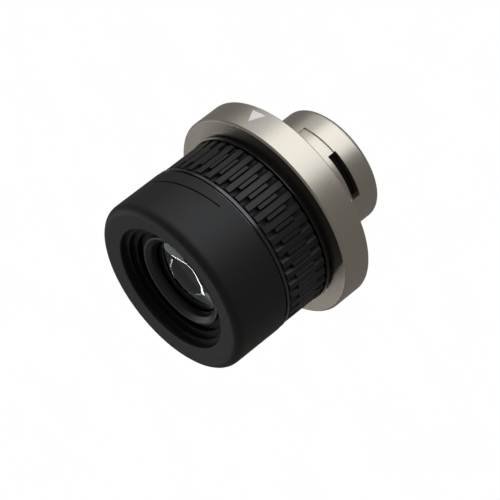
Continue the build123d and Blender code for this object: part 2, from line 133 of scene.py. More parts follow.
def swept_rings(columns, closed=True):
    """Mesh through outlines that stand one after the other about the axis.

    columns is a list of (angle in degrees, outline); every outline has as many points. A point
    of radius 0 is on the axis and is shared by all columns.
    """
    mesh = bmesh.new()
    count = len(columns[0][1])
    axis_points = {}
    rows = []
    for degrees, points in columns:
        row = []
        for i, (radius, height) in enumerate(points):
            if radius < TINY:
                if i not in axis_points:
                    axis_points[i] = mesh.verts.new((0, 0, height * MM))
                row.append(axis_points[i])
            else:
                row.append(mesh.verts.new(at_angle(radius, height, degrees)))
        rows.append(row)
    pairs = list(zip(rows, rows[1:]))
    if closed:
        pairs.append((rows[-1], rows[0]))
    for one, other in pairs:
        for i in range(count):
            j = (i + 1) % count
            corners = []
            for vert in (one[i], one[j], other[j], other[i]):
                if vert not in corners:
                    corners.append(vert)
            if len(corners) > 2:
                mesh.faces.new(corners)
    if not closed:
        mesh.faces.new(rows[0])
        mesh.faces.new(list(reversed(rows[-1])))
    bmesh.ops.recalc_face_normals(mesh, faces=mesh.faces)
    return mesh


def add_object(name, mesh):
    """Object from a bmesh, linked to the scene."""
    data = bpy.data.meshes.new(name)
    mesh.to_mesh(data)
    mesh.free()
    piece = bpy.data.objects.new(name, data)
    bpy.context.scene.collection.objects.link(piece)
    return piece


def even_angles(count, start=0.0, end=360.0):
    """Angles of equal steps; a full turn doesn't repeat its first angle."""
    last = 0 if abs(end - start - 360.0) < 1e-6 else 1
    return [start + (end - start) * i / count for i in range(count + last)]


def turned(name, corners, segments=AROUND):
    """Piece turned about the optical axis from an outline's corners."""
    points = outline(corners)
    return add_object(name, swept_rings([(angle, points) for angle in even_angles(segments)]))


def wedge(name, points, start, end, segments):
    """Closed part of a turned shape between two angles, used as a cutter."""
    columns = [(angle, points) for angle in even_angles(segments, start, end)]
    return add_object(name, swept_rings(columns, closed=False))


def cut_away(piece, cutters):
    """Takes the cutters' shapes out of a piece and deletes them."""
    for cutter in cutters:
        cut = piece.modifiers.new(cutter.name, "BOOLEAN")
        cut.object = cutter
        cut.operation = "DIFFERENCE"
        cut.solver = "EXACT"
    depsgraph = bpy.context.evaluated_depsgraph_get()
    data = bpy.data.meshes.new_from_object(piece.evaluated_get(depsgraph))
    piece.modifiers.clear()
    piece.data = data
    for cutter in cutters:
        bpy.data.objects.remove(cutter)


def smooth(piece):
    """Smooth shading with creases at the real edges and flat faces that stay flat."""
    piece.data.shade_smooth()
    piece.data.set_sharp_from_angle(angle=CREASE)
    flatten = piece.modifiers.new("flat faces", "WEIGHTED_NORMAL")
    flatten.keep_sharp = True
    flatten.weight = 60


def place(piece, body, node, slot):
    """Finishes a piece: its shading, its material, the body it rides on and what it replaces."""
    smooth(piece)
    piece.data.materials.clear()
    piece.data.materials.append(finish_of(slot))
    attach(piece, body)
    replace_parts(piece, node)


def settings(group):
    """The scene's sizes, finish or studio settings."""
    return getattr(bpy.context.scene, "eyepiece_" + group)


# ---- shader building ----
class Board:
    """Adds and wires the nodes of one material or one node group."""

    def __init__(self, tree):
        self.tree = tree
        self.tree.nodes.clear()

    def add(self, kind, settings=None, inputs=None):
        node = self.tree.nodes.new("ShaderNode" + kind)
        for name, value in (settings or {}).items():
            setattr(node, name, value)
        for name, value in (inputs or {}).items():
            self.feed(node, name, value)
        return node

    def feed(self, node, name, value):
        """Sets a socket to a constant, or wires it to another node's socket."""
        socket = node.inputs[name]
        if isinstance(value, bpy.types.NodeSocket):
            self.tree.links.new(value, socket)
        else:
            socket.default_value = value

    def math(self, operation, one, other=0.0):
        return self.add("Math", {"operation": operation}, {0: one, 1: other}).outputs[0]

    def remap(self, value, from_low, from_high, to_low, to_high):
        return self.add("MapRange", None, {
            "Value": value, "From Min": from_low, "From Max": from_high,
            "To Min": to_low, "To Max": to_high,
        }).outputs["Result"]

    def blend(self, share, one, other):
        node = self.add("Mix", {"data_type": "RGBA"})
        self.feed(node, 0, share)
        self.feed(node, 6, one)
        self.feed(node, 7, other)
        return node.outputs[2]

    def noise(self, scale, detail=3.0, roughness=0.5, vector=None):
        node = self.add("TexNoise", None,
                        {"Scale": scale, "Detail": detail, "Roughness": roughness})
        if vector is None:
            vector = self.add("TexCoord").outputs["Object"]
        self.feed(node, "Vector", vector)
        return node.outputs["Fac"]

    def bump(self, height, strength, distance):
        return self.add("Bump", None, {
            "Height": height, "Strength": strength, "Distance": distance,
        }).outputs["Normal"]


def new_group(name, inputs, outputs):
    """Empty shader node group with named float sockets, as (group, board, inputs, outputs)."""
    group = bpy.data.node_groups.new(name, "ShaderNodeTree")
    for label, default in inputs.items():
        socket = group.interface.new_socket(name=label, in_out="INPUT",
                                            socket_type="NodeSocketFloat")
        socket.default_value = default
    for label in outputs:
        group.interface.new_socket(name=label, in_out="OUTPUT", socket_type="NodeSocketFloat")
    board = Board(group)
    given = group.nodes.new("NodeGroupInput").outputs
    result = group.nodes.new("NodeGroupOutput")
    return group, board, given, result


def surface_grain():
    """Fine grain of a blasted or moulded surface: a value about 0.5 and a height."""
    group, board, given, result = new_group(
        "surface grain", {"Size": 0.0004, "Contrast": 1.0}, ("Value", "Height"))
    scale = board.math("DIVIDE", 1.0, given["Size"])
    coarse = board.noise(scale, 2.0, 0.6)
    fine = board.noise(board.math("MULTIPLY", scale, 2.7), 3.0, 0.6)
    both = board.math("ADD", board.math("MULTIPLY", coarse, 0.6),
                      board.math("MULTIPLY", fine, 0.4))
    centred = board.math("SUBTRACT", both, 0.5)
    value = board.math("ADD", board.math("MULTIPLY", centred, given["Contrast"]), 0.5)
    board.feed(result, "Value", value)
    board.feed(result, "Height", both)
    return group


def off_axis(board):
    """Distance of a surface point from the optical axis."""
    place_at = board.add("TexCoord").outputs["Object"]
    flat = board.add("VectorMath", {"operation": "MULTIPLY"},
                     {0: place_at, 1: (1.0, 1.0, 0.0)}).outputs["Vector"]
    return board.add("VectorMath", {"operation": "LENGTH"}, {0: flat}).outputs["Value"]


def turning_marks():
    """Fine rings that a lathe leaves: a value that changes along the radius and the axis."""
    group, board, given, result = new_group(
        "turning marks", {"Spacing": 0.0001, "Contrast": 1.0}, ("Value",))
    place_at = board.add("TexCoord").outputs["Object"]
    parts = board.add("SeparateXYZ", None, {"Vector": place_at}).outputs
    radius = off_axis(board)
    scale = board.math("DIVIDE", 1.0, given["Spacing"])
    lines = board.add("CombineXYZ", None, {
        "X": board.math("MULTIPLY", radius, scale),
        "Y": board.math("MULTIPLY", parts["Z"], scale),
    }).outputs["Vector"]
    marks = board.noise(1.0, 2.0, 0.5, lines)
    centred = board.math("SUBTRACT", marks, 0.5)
    value = board.math("ADD", board.math("MULTIPLY", centred, given["Contrast"]), 0.5)
    board.feed(result, "Value", value)
    return group


def soft_mottle():
    """Slow change of tone over a surface, from 0 to 1."""
    group, board, given, result = new_group("soft mottle", {"Size": 0.006}, ("Value",))
    patches = board.noise(board.math("DIVIDE", 1.0, given["Size"]), 2.0, 0.5)
    board.feed(result, "Value", board.remap(patches, 0.3, 0.7, 0.0, 1.0))
    return group


def edge_wear():
    """Mask of the outer edges where handling polishes a finish."""
    group, board, given, result = new_group(
        "edge wear", {"Width": 0.0002, "Amount": 1.0}, ("Mask",))
    rounded = board.add("Bevel", {"samples": 4}, {"Radius": given["Width"]})
    surface = board.add("NewGeometry").outputs["Normal"]
    facing = board.add("VectorMath", {"operation": "DOT_PRODUCT"},
                       {0: rounded.outputs["Normal"], 1: surface}).outputs["Value"]
    bend = board.remap(facing, 0.995, 0.9, 0.0, 1.0)
    patches = board.remap(board.noise(900.0, 3.0, 0.6), 0.35, 0.6, 0.3, 1.0)
    mask = board.math("MULTIPLY", board.math("MULTIPLY", bend, patches), given["Amount"])
    board.feed(result, "Mask", mask)
    return group


def dust_specks():
    """Sparse pale specks of lint and dust, as a mask."""
    group, board, given, result = new_group(
        "dust specks", {"Size": 0.0003, "Amount": 1.0}, ("Mask",))
    specks = board.noise(board.math("DIVIDE", 1.0, given["Size"]), 1.0, 0.5)
    sparse = board.noise(400.0, 2.0, 0.5)
    near = board.remap(specks, 0.72, 0.78, 0.0, 1.0)
    some = board.remap(sparse, 0.5, 0.62, 0.0, 1.0)
    mask = board.math("MULTIPLY", board.math("MULTIPLY", near, some), given["Amount"])
    board.feed(result, "Mask", mask)
    return group


EFFECTS = {
    "surface grain": surface_grain,
    "turning marks": turning_marks,
    "soft mottle": soft_mottle,
    "edge wear": edge_wear,
    "dust specks": dust_specks,
}


def effect(board, name, **inputs):
    """Places one of the shared effects in a material, with this material's own values."""
    group = bpy.data.node_groups.get(name) or EFFECTS[name]()
    return board.add("Group", {"node_tree": group}, inputs).outputs


def scaled(colour, share=1.0):
    """A colour with its brightness scaled, as red, green, blue and an alpha of 1."""
    return (colour[0] * share, colour[1] * share, colour[2] * share, 1.0)


def new_material(name, constants):
    """Material with a Principled shader whose plain values are set on its own sockets."""
    material = bpy.data.materials.new(name)
    material.use_nodes = True
    board = Board(material.node_tree)
    shader = board.add("BsdfPrincipled", None, constants)
    output = board.add("OutputMaterial")
    board.feed(output, "Surface", shader.outputs["BSDF"])
    return material, board, shader


def glow_material(name, colour, strength):
    """Self-lit material, as (material, board, emission node, output node)."""
    material = bpy.data.materials.new(name)
    material.use_nodes = True
    board = Board(material.node_tree)
    glow = board.add("Emission", None, {"Color": colour, "Strength": strength})
    output = board.add("OutputMaterial")
    board.feed(output, "Surface", glow.outputs["Emission"])
    return material, board, glow, output


def dress(board, shader, tone, rough, normal):
    """Feeds a shader its tone, its roughness and its normal.

    rough is (value, roughness at 0, roughness at 1); normal is (height, strength, distance).
    """
    board.feed(shader, "Base Color", tone)
    board.feed(shader, "Roughness", board.remap(rough[0], 0.0, 1.0, rough[1], rough[2]))
    board.feed(shader, "Normal", board.bump(*normal))


def champagne_metal():
    """Bead-blasted, champagne-anodised aluminium, polished a little along its edges."""
    finish = settings("finish")
    material, board, shader = new_material("champagne metal", {"Metallic": 1.0})
    grain = effect(board, "surface grain", Size=0.00034, Contrast=1.5)
    mottle = effect(board, "soft mottle", Size=0.005)["Value"]
    worn = effect(board, "edge wear", Width=0.00022, Amount=0.55)["Mask"]
    colour, rough, spread = finish.champagne, finish.champagne_roughness, 0.06
    toned = board.blend(grain["Value"], scaled(colour, 0.86), scaled(colour, 1.1))
    toned = board.blend(board.math("MULTIPLY", mottle, 0.25), toned, scaled(colour, 0.93))
    dress(board, shader, board.blend(worn, toned, scaled(colour, 1.35)),
          (grain["Value"], rough - spread, rough + spread), (grain["Height"], 0.25, 0.00005))
    return material


def soft_rubber():
    """Smooth matt eyecup rubber with a faint tone and a little lint."""
    finish = settings("finish")
    material, board, shader = new_material(
        "soft rubber", {"Metallic": 0.0, "Specular IOR Level": finish.rubber_shine})
    grain = effect(board, "surface grain", Size=0.00025, Contrast=1.4)
    mottle = effect(board, "soft mottle", Size=0.008)["Value"]
    dust = effect(board, "dust specks", Size=0.00028, Amount=0.35)["Mask"]
    toned = board.blend(mottle, scaled(finish.rubber, 0.9), scaled(finish.rubber, 1.12))
    dress(board, shader, board.blend(dust, toned, scaled(finish.rubber, 6.0)),
          (grain["Value"], 0.46, 0.62), (grain["Height"], 0.2, 0.00004))
    return material


def grip_rubber():
    """Firmer moulded rubber of the ribbed grip, shinier on the rib tops than in the pockets."""
    finish = settings("finish")
    material, board, shader = new_material(
        "grip rubber", {"Metallic": 0.0, "Specular IOR Level": finish.rubber_shine * 1.1})
    grain = effect(board, "surface grain", Size=0.0002, Contrast=1.3)
    worn = effect(board, "edge wear", Width=0.00018, Amount=0.8)["Mask"]
    dust = effect(board, "dust specks", Size=0.0002, Amount=0.3)["Mask"]
    toned = board.blend(worn, scaled(finish.rubber, 0.95), scaled(finish.rubber, 1.7))
    dress(board, shader, board.blend(dust, toned, scaled(finish.rubber, 5.0)),
          (grain["Value"], 0.42, 0.58), (grain["Height"], 0.22, 0.00004))
    pocket_r, block_r, duller = 0.0228, 0.0234, 0.35
    sunk = board.remap(off_axis(board), pocket_r, block_r, duller, 0.0)
    rough = board.remap(grain["Value"], 0.0, 1.0, 0.42, 0.58)
    board.feed(shader, "Roughness", board.math("ADD", rough, sunk))
    return material


def black_anodised():
    """Satin black anodised aluminium with faint turning marks."""
    material, board, shader = new_material(
        "black anodised", {"Metallic": 0.0, "Specular IOR Level": 0.6})
    marks = effect(board, "turning marks", Spacing=0.00012, Contrast=1.2)["Value"]
    worn = effect(board, "edge wear", Width=0.0001, Amount=0.4)["Mask"]
    toned = board.blend(marks, (0.010, 0.010, 0.011, 1.0), (0.018, 0.018, 0.019, 1.0))
    dress(board, shader, board.blend(worn, toned, (0.08, 0.08, 0.085, 1.0)),
          (marks, 0.28, 0.42), (marks, 0.15, 0.00003))
    return material


def matt_black():
    """Light-absorbing black paint of the baffles and the cell."""
    material, board, shader = new_material(
        "matt black", {"Metallic": 0.0, "Specular IOR Level": 0.22})
    grain = effect(board, "surface grain", Size=0.00018, Contrast=1.6)
    marks = effect(board, "turning marks", Spacing=0.0002, Contrast=1.0)["Value"]
    worn = effect(board, "edge wear", Width=0.00012, Amount=1.0)["Mask"]
    toned = board.blend(grain["Value"], (0.004, 0.004, 0.004, 1.0), (0.010, 0.010, 0.010, 1.0))
    dress(board, shader, board.blend(worn, toned, (0.06, 0.06, 0.06, 1.0)),
          (marks, 0.42, 0.6), (grain["Height"], 0.2, 0.00004))
    return material


def trim_metal(name, colour, roughness, coat):
    """Turned metal with fine rings, used for the trim bands and the inner metals."""
    material, board, shader = new_material(
        name, {"Metallic": 1.0, "Coat Weight": coat, "Coat Roughness": 0.05})
    marks = effect(board, "turning marks", Spacing=0.00006, Contrast=1.3)["Value"]
    mottle = effect(board, "soft mottle", Size=0.004)["Value"]
    worn = effect(board, "edge wear", Width=0.00012, Amount=0.5)["Mask"]
    toned = board.blend(marks, scaled(colour, 0.85), scaled(colour, 1.12))
    dress(board, shader, board.blend(worn, toned, scaled(colour, 1.5)),
          (mottle, roughness - 0.03, roughness + 0.05), (marks, 0.12, 0.00002))
    return material


def bright_trim():
    return trim_metal("bright trim", settings("finish").bright_trim, 0.2, 0.0)


def polished_trim():
    return trim_metal("polished trim", settings("finish").dark_trim, 0.12, 0.3)


def bare_steel():
    return trim_metal("bare steel", (0.55, 0.55, 0.56), 0.25, 0.0)


def bronze():
    return trim_metal("bronze", (0.55, 0.38, 0.18), 0.3, 0.0)


def lens_ring_finish():
    """Satin dark grey of the ring round the eye lens, with painted shade that darkens its slope
    and bore.
    """
    finish = settings("finish")
    material, board, shader = new_material(
        "lens ring finish", {"Metallic": 0.0, "Specular IOR Level": 0.6})
    marks = effect(board, "turning marks", Spacing=0.0001, Contrast=1.3)["Value"]
    worn = effect(board, "edge wear", Width=0.00015, Amount=0.8)["Mask"]
    toned = board.blend(marks, scaled(finish.lens_ring, 0.85), scaled(finish.lens_ring, 1.15))
    # Painted shade: inside the lip, the slope and the bore are blended towards near-black. This
    # stands in for the shade on the ring's inner wall.
    slope_r, lip_r, painted_shade_depth = 0.01205, 0.0122, 0.75
    slope = board.remap(off_axis(board), slope_r, lip_r, painted_shade_depth, 0.0)
    shaded = board.blend(slope, toned, (0.004, 0.004, 0.004, 1.0))
    dress(board, shader, board.blend(worn, shaded, scaled(finish.lens_ring, 2.2)),
          (marks, 0.3, 0.42), (marks, 0.15, 0.00003))
    return material


def plain_coat(name, coat, size, contrast, low, high, rough, strength):
    """Grained paint or rubber whose tone lies between two colours."""
    material, board, shader = new_material(
        name, {"Metallic": 0.0, "Coat Weight": coat, "Coat Roughness": 0.2})
    grain = effect(board, "surface grain", Size=size, Contrast=contrast)
    dress(board, shader, board.blend(grain["Value"], scaled(low), scaled(high)),
          (grain["Value"], *rough), (grain["Height"], strength, 0.00003))
    return material


def index_paint():
    return plain_coat("index paint", 0.2, 0.0003, 1.2, (0.84, 0.83, 0.80), (0.93, 0.92, 0.89),
                      (0.4, 0.55), 0.15)


def seal_rubber():
    return plain_coat("seal rubber", 0.0, 0.00015, 1.4, (0.012, 0.012, 0.012),
                      (0.028, 0.028, 0.028), (0.5, 0.7), 0.2)


def lens_glass(name, shine):
    """Optical glass with an anti-reflection coat."""
    glass = settings("finish").glass
    material, board, shader = new_material(name, {
        "Metallic": 0.0,
        "Transmission Weight": 1.0,
        "IOR": 1.52,
        "Specular IOR Level": shine,
        "Specular Tint": (0.80, 0.92, 1.0, 1.0),
    })
    mottle = effect(board, "soft mottle", Size=0.01)["Value"]
    board.feed(shader, "Base Color", board.blend(mottle, scaled(glass), scaled(glass, 0.97)))
    board.feed(shader, "Roughness", board.remap(mottle, 0.0, 1.0, 0.0, 0.004))
    return material


def coated_glass():
    return lens_glass("coated glass", settings("finish").glass_shine)


def inner_glass():
    return lens_glass("inner glass", 0.05)


FINISHES = {build.__name__: build for build in (
    champagne_metal, soft_rubber, grip_rubber, black_anodised, matt_black, bright_trim,
    polished_trim, lens_ring_finish, index_paint, coated_glass, inner_glass, bare_steel, bronze,
    seal_rubber)}
made_finishes = {}


def finish_of(slot):
    """The material of one of the record's slots, made once."""
    if slot not in made_finishes:
        made_finishes[slot] = FINISHES[slot]()
    return made_finishes[slot]


# ---- settings ----
def length(label, text, default_mm):
    return bpy.props.FloatProperty(name=label, description=text, default=default_mm * MM,
                                   unit="LENGTH", precision=5)


def tint(label, text, default):
    return bpy.props.FloatVectorProperty(name=label, description=text, default=default,
                                         subtype="COLOR", size=3, min=0.0, max=1.0)


def number(label, text, default):
    return bpy.props.FloatProperty(name=label, description=text, default=default, min=0.0)


def degrees(label, text, default):
    return bpy.props.FloatProperty(name=label, description=text, default=math.radians(default),
                                   subtype="ANGLE")


class EyepieceSizes(bpy.types.PropertyGroup):
    """Sizes that the frame's boxes don't give."""

    cup_round: length("Cup edge", "Rounding of the eyecup's front edge", 2.4)
    cup_hole: length("Cup opening", "Radius of the eyecup's opening", 17.4)
    face_fall: length("Face fall", "How far the eyecup's face falls towards its opening", 0.85)
    line_width: length("Line width", "Width of the line engraved in the eyecup", 0.35)
    line_depth: length("Line depth", "Depth of the line engraved in the eyecup", 0.3)
    rib_count: bpy.props.IntProperty(name="Ribs", description="Number of ribs round the grip",
                                     default=44, min=6, max=120)
    rib_top: length("Rib width", "Width of a rib's top", 1.6)
    rib_slope: length("Rib slope", "Width of a rib's sloped side", 0.7)
    pocket_depth: length("Pocket depth", "Depth between two ribs", 1.1)
    pocket_rise: number("Pocket rise", "Share of the depth left at a pocket's open end", 0.5)
    flange_chamfer: length("Flange chamfer", "Chamfer of the flange's front edge", 0.45)
    barrel_nose: length("Barrel nose", "Rounding of the barrel's end", 1.8)


class EyepieceFinish(bpy.types.PropertyGroup):
    """Colours and shine of the finishes."""

    champagne: tint("Champagne", "Anodised metal of the barrel and flange", (0.57, 0.53, 0.463))
    champagne_roughness: number("Champagne roughness", "Roughness of the anodised metal", 0.36)
    rubber: tint("Rubber", "Rubber of the eyecup and grip", (0.008, 0.008, 0.008))
    rubber_shine: number("Rubber shine", "Strength of the rubber's soft reflections", 0.5)
    bright_trim: tint("Front trim", "Metal of the ring behind the eyecup", (0.10, 0.10, 0.102))
    dark_trim: tint("Rear trim", "Metal of the ring behind the ribs", (0.05, 0.05, 0.052))
    lens_ring: tint("Lens ring", "Ring round the eye lens", (0.05, 0.05, 0.052))
    glass: tint("Glass", "Body colour of the lenses", (0.12, 0.125, 0.122))
    glass_shine: number("Glass shine", "Strength of the outer lenses' reflections", 0.22)


class StudioSettings(bpy.types.PropertyGroup):
    """Camera, lamps and floor."""

    azimuth: degrees("Azimuth", "Bearing of the camera round the object", -45.5)
    elevation: degrees("Elevation", "Height of the camera above the flange's plane", 26.28)
    roll: degrees("Roll", "Turn of the camera about its line of sight", -128.11)
    distance: length("Distance", "Distance from the camera to the flange seat", 750.0)
    right: length("Aim right", "How far right of the picture's centre the seat is", 8.95)
    up: length("Aim up", "How far above the picture's centre the seat is", 12.72)
    lens: length("Lens", "Focal length for a sensor 36 mm wide", 217.188)
    key: number("Key", "Brightness of the main soft box", 1.5)
    side: number("Side", "Brightness of the soft box at the left", 0.55)
    top: number("Top", "Brightness of the soft box above", 1.1)
    streak: number("Streak", "Brightness of the arch that shows in the eye lens", 24.0)
    ambient: number("Ambient", "Brightness of the room", 0.24)
    floor: tint("Floor", "Colour of the floor", (1.0, 1.0, 1.0))


# ---- pieces ----
def climbing_line(angle, start, turn, rise):
    """Height of the eyecup's engraved line above its start, and whether it is cut there."""
    along = (angle - start) % 360.0
    if along <= turn:
        return rise * along / turn, True
    return rise * (360.0 - along) / (360.0 - turn), False


def make_soft_eyecup():
    """Eyecup of soft rubber with a rounded front edge and an engraved line that climbs."""
    sizes = settings("sizes")
    radius, bottom, top = node_size("eyecup_rubber")
    inner, _, lip_bottom = node_size("eyecup_sleeve")
    hole, half, depth = sizes.cup_hole / MM, sizes.line_width / MM / 2, sizes.line_depth / MM
    line_start, line_turn, line_rise, line_above = 243.9, 76.0, 3.14, 2.7
    soft, line_end, first_angle = 0.06, 0.05, 0.13
    edge_round, fall = sizes.cup_round / MM, sizes.face_fall / MM
    half_corner = (math.pi / 2 - math.atan2(fall, radius - hole)) / 2
    corner_z = top - edge_round + edge_round / math.tan(half_corner)
    front = outline([
        (radius, bottom, 0.3), (radius, corner_z, edge_round), (hole, corner_z - fall, 0.4),
        (hole, lip_bottom), (inner, lip_bottom), (inner, bottom),
    ])
    wall_starts = next(i for i, p in enumerate(front) if p[1] > bottom + 1 and p[0] > hole + 1)

    def column(angle):
        climb, cut = climbing_line(angle, line_start, line_turn, line_rise)
        middle = bottom + line_above + climb
        sunk = radius - depth if cut else radius
        line = [(radius, middle - half - soft), (radius - soft * cut, middle - half),
                (sunk, middle - half + soft), (sunk, middle + half - soft),
                (radius - soft * cut, middle + half), (radius, middle + half + soft)]
        return (angle, front[:wall_starts] + line + front[wall_starts:])

    ends = [line_start - line_end, line_start, line_start + line_turn,
            line_start + line_turn + line_end]
    angles = sorted(even_angles(AROUND, first_angle, first_angle + 360.0) + ends)
    piece = add_object("soft_eyecup", swept_rings([column(a) for a in angles]))
    place(piece, "eyecup", "eyecup_rubber", "soft_rubber")


def make_front_trim():
    """Metal ring behind the eyecup: a bright band between two recessed edges."""
    radius, bottom, top = node_size("eyecup_trim_ring")
    inner = node_size("eyecup_sleeve")[0]
    low, low_height, band_edge, soft = radius - 0.4, 0.22, 0.34, 0.12
    piece = turned("front_trim_ring", [
        (inner, bottom), (low, bottom), (low, bottom + low_height),
        (radius, bottom + band_edge, soft), (radius, top - band_edge, soft),
        (low, top - low_height), (low, top), (inner, top)])
    place(piece, "eyecup", "eyecup_trim_ring", "bright_trim")


def make_sleeve():
    """Tube that carries the eyecup; it shows when the eyecup is up."""
    radius, bottom, top = node_size("eyecup_sleeve")
    inner, groove_r, slope = radius - 1.35, radius - 0.06, 0.1
    groove_bottom, groove_top = bottom + 1.6, bottom + 2.0
    piece = turned("eyecup_carrier_tube", [
        (inner, bottom), (radius, bottom, 0.2), (radius, groove_bottom),
        (groove_r, groove_bottom + slope), (groove_r, groove_top - slope), (radius, groove_top),
        (radius, top), (inner, top)])
    place(piece, "eyecup", "eyecup_sleeve", "black_anodised")


def make_baffle():
    """Stepped black ring at the bottom of the eyecup's opening."""
    outer, bottom, top = node_size("eyecup_baffle")
    step, hole, step_z = 16.1, 14.6, 37.1
    shelf_r, shelf_z = step + 0.9, top - 0.35
    rim_r, rim_slope, rim_top = hole + 0.3, 0.05, step_z + 0.1
    piece = turned("opening_baffle", [
        (hole, bottom), (outer, bottom), (outer, top), (shelf_r, top, 0.1),
        (shelf_r, shelf_z, 0.08), (step, shelf_z, 0.12), (step, step_z, 0.1),
        (rim_r + rim_slope, step_z, 0.06), (rim_r, rim_top, 0.05), (hole, rim_top, 0.12)])
    place(piece, "eyecup", "eyecup_baffle", "matt_black")


class GripProfile:
    """Depth below the rib tops along one pitch of the grip, in the pockets and in the middle."""

    def __init__(self, sizes, radius):
        self.pitch = 2 * math.pi * radius / sizes.rib_count
        self.wall = sizes.rib_top / MM - self.pitch
        self.rib_top = sizes.rib_top / MM
        self.slope = sizes.rib_slope / MM
        self.deep = sizes.pocket_depth / MM
        self.bevel_width, self.bevel_depth = 0.35, 0.5
        self.notch = 0.48
        self.soft = 0.07

    def stations(self):
        """Distances along the pitch where either profile changes direction."""
        soft = self.soft
        return [
            self.wall, self.wall + soft, self.wall + self.bevel_width, -self.slope - soft,
            -self.slope, -self.notch - soft, -self.notch, -soft, 0.0, soft,
            self.rib_top - soft,
        ]

    def pocket(self, along):
        """Depth in the pockets at the grip's two ends."""
        if along <= self.wall or along >= 0:
            return 0.0 if self.wall + TINY < along < self.rib_top - TINY else self.soft
        if along <= -self.slope:
            return self.deep
        return self.deep * -along / self.slope

    def middle(self, along):
        """Depth between the pockets, where a bevelled block fills the gap up to a notch."""
        if along <= self.wall or along >= 0:
            return self.pocket(along)
        if along <= self.wall + self.bevel_width:
            share = (along - self.wall) / self.bevel_width
            return self.bevel_depth * (1 - share)
        if along < -self.notch - TINY:
            return 0.0
        return self.deep * -along / self.slope


def make_ribbed_grip():
    """Rubber grip: ribs with a sloped side, a block between them and a pocket at each end."""
    sizes = settings("sizes")
    bottom, top = node_size("grip_sleeve")[1:]
    inner = node_size("main_body")[0]
    first_rib, flange_pocket, eye_pocket = 218.8, 3.1, 2.75
    profile = GripProfile(sizes, RIB_TOP_R)
    block_bottom, block_top = bottom + flange_pocket, top - eye_pocket
    half, chamfer = 0.05, 0.12
    columns = []
    for rib in range(sizes.rib_count):
        for along in profile.stations():
            angle = first_rib + 360.0 * rib / sizes.rib_count - math.degrees(along / RIB_TOP_R)
            deep = RIB_TOP_R - profile.pocket(along)
            end = RIB_TOP_R - profile.pocket(along) * sizes.pocket_rise
            shallow = RIB_TOP_R - profile.middle(along)
            columns.append((angle, [
                (inner, bottom), (end - chamfer, bottom), (end, bottom + chamfer),
                (deep, block_bottom - half), (shallow, block_bottom + half),
                (shallow, block_top - half), (deep, block_top + half),
                (end, top - chamfer), (end - chamfer, top), (inner, top),
            ]))
    columns.sort(key=lambda column: column[0])
    piece = add_object("ribbed_grip", swept_rings(columns))
    place(piece, "root", "grip_sleeve", "grip_rubber")


def make_rear_ring():
    """Thin polished ring behind the ribs."""
    radius, bottom, top = node_size("grip_rear_ring")
    inner = node_size("main_body")[0]
    piece = turned("rear_trim_ring", [
        (inner, bottom), (radius, bottom, 0.14), (radius, top, 0.14), (inner, top)])
    place(piece, "root", "grip_rear_ring", "polished_trim")


def make_body_shell():
    """Open cup that holds the grip outside and the eyecup's tube inside."""
    radius, bottom, top = node_size("main_body")
    bore, floor_top, hole = 21.0, 10.2, 15.0
    piece = turned("body_shell", [
        (hole, bottom), (radius, bottom, 0.12), (radius, top, 0.15), (bore, top, 0.15),
        (bore, floor_top), (hole, floor_top)])
    place(piece, "root", "main_body", "black_anodised")


def index_corners(side, base):
    """Corners of the index mark as (offset across, height), its apex towards the eye."""
    rise = side * math.sqrt(3) / 2
    return [(-side / 2, base), (side / 2, base), (0.0, base + rise)]


def index_prism(name, side, base, near, far):
    """Triangular prism that crosses the flange's rim at the index mark."""
    mesh = bmesh.new()
    corners = index_corners(side, base)
    ends = [[mesh.verts.new(Vector((x, -y, z)) * MM) for x, z in corners] for y in (near, far)]
    mesh.faces.new(ends[0])
    mesh.faces.new(list(reversed(ends[1])))
    for i in range(3):
        j = (i + 1) % 3
        mesh.faces.new((ends[0][i], ends[0][j], ends[1][j], ends[1][i]))
    bmesh.ops.recalc_face_normals(mesh, faces=mesh.faces)
    return add_object(name, mesh)


def make_flange():
    """Wide flange with a chamfered rim and a recess for the index mark."""
    sizes = settings("sizes")
    radius, bottom, top = node_size("mount_flange")
    chamfer = sizes.flange_chamfer / MM
    bore, relief_r, relief, rear_chamfer, past_rim = 15.0, 16.3, 0.3, 0.3, 2.0
    piece = turned("index_flange", [
        (bore, bottom + relief), (relief_r, bottom + relief), (relief_r, bottom, 0.1),
        (radius - rear_chamfer, bottom, 0.08), (radius, bottom + rear_chamfer, 0.1),
        (radius, top - chamfer, 0.12), (radius - chamfer, top, 0.1), (bore, top)])
    cut_away(piece, [index_prism("index recess", INDEX_SIDE, INDEX_BASE,
                                 radius - INDEX_INLAY, radius + past_rim)])
    place(piece, "root", "mount_flange", "champagne_metal")


